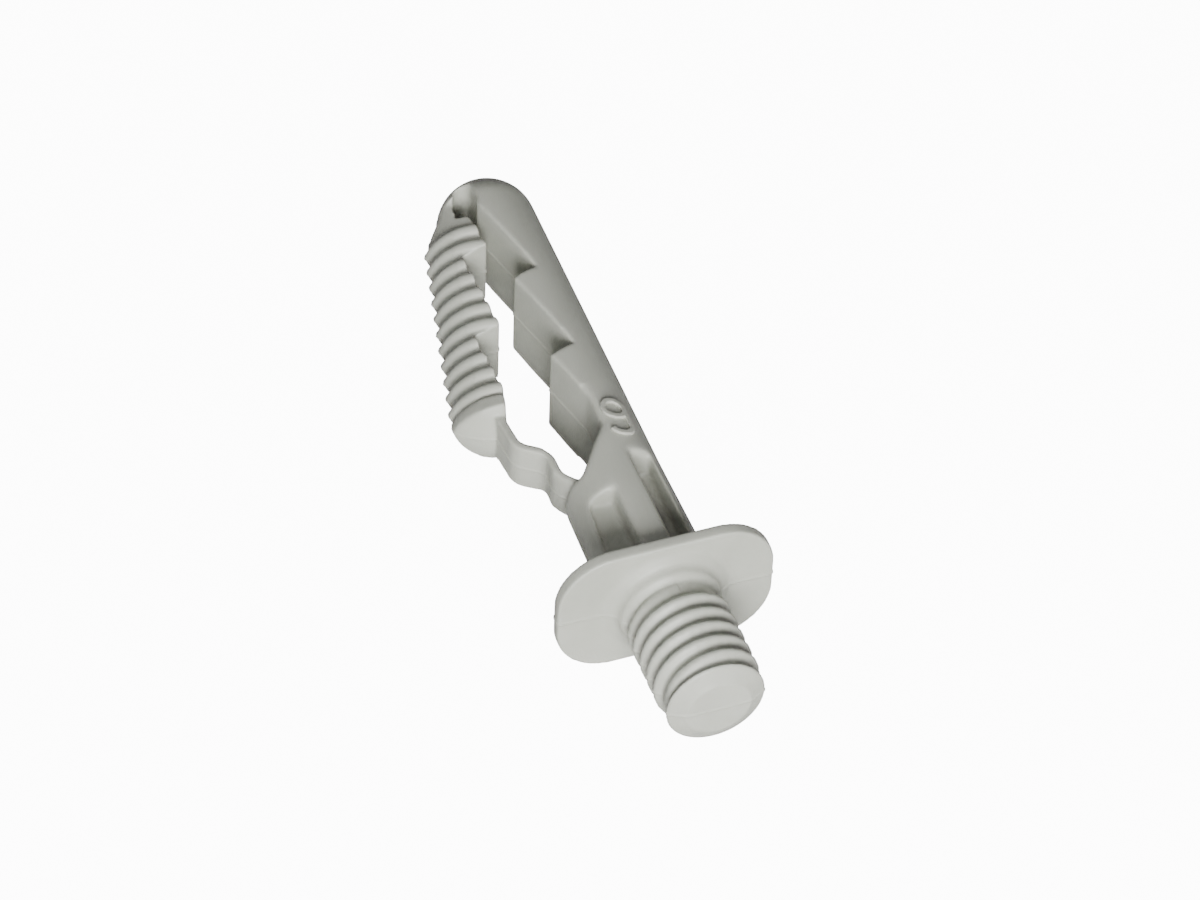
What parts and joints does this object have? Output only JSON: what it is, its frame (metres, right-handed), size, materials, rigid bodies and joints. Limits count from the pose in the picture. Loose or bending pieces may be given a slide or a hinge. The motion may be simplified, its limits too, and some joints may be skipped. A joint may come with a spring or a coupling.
{
  "type": "wall anchor",
  "caption": "One-piece moulded wall anchor: threaded stud, oval flange, sawtooth shank and a ribbed leg hinged at the tip that wedges in the drilled hole.",
  "frame": {"origin": "on the axis of the stud and shank, in the plane of the flange's wall-side face", "axes": "+Y into the wall along the shank, -Y out along the stud, -X towards the swinging leg, Z = 0 the parting plane"},
  "size_m": [0.0135, 0.0423, 0.0084],
  "materials": {
    "moulded_plastic": "satin light-grey moulded nylon"
  },
  "bodies": {
    "shank": {"stud_core": "moulded_plastic", "stud_thread": "moulded_plastic", "flange": "moulded_plastic", "base_web": "moulded_plastic", "root_wall": "moulded_plastic", "base_ribs": "moulded_plastic", "outer_rail": "moulded_plastic", "wedge_spine": "moulded_plastic", "size_mark": "moulded_plastic", "tip_nose": "moulded_plastic", "strap": "moulded_plastic"},
    "neck": {"hinge_web": "moulded_plastic"},
    "leg": {"leg_back": "moulded_plastic", "leg_wedges": "moulded_plastic", "grip_ribs": "moulded_plastic", "leg_foot": "moulded_plastic"}
  },
  "joints": [
    {"name": "leg_swing", "type": "hinge", "parent": "shank", "child": "neck", "pos_m": [-0.00235, 0.0308, 0], "axis": [0, 0, 1], "range_deg": [-3, 11.5], "stiffness_Nm_per_rad": 0.02, "deforming": ["hinge_web", "strap"]},
    {"name": "wedge_slide", "type": "slide", "parent": "neck", "child": "leg", "axis": [-0.0454, 0.999, 0], "range_m": [-0.0006, 0.0008], "stiffness_N_per_m": 1000, "deforming": ["hinge_web", "strap"]}
  ]
}
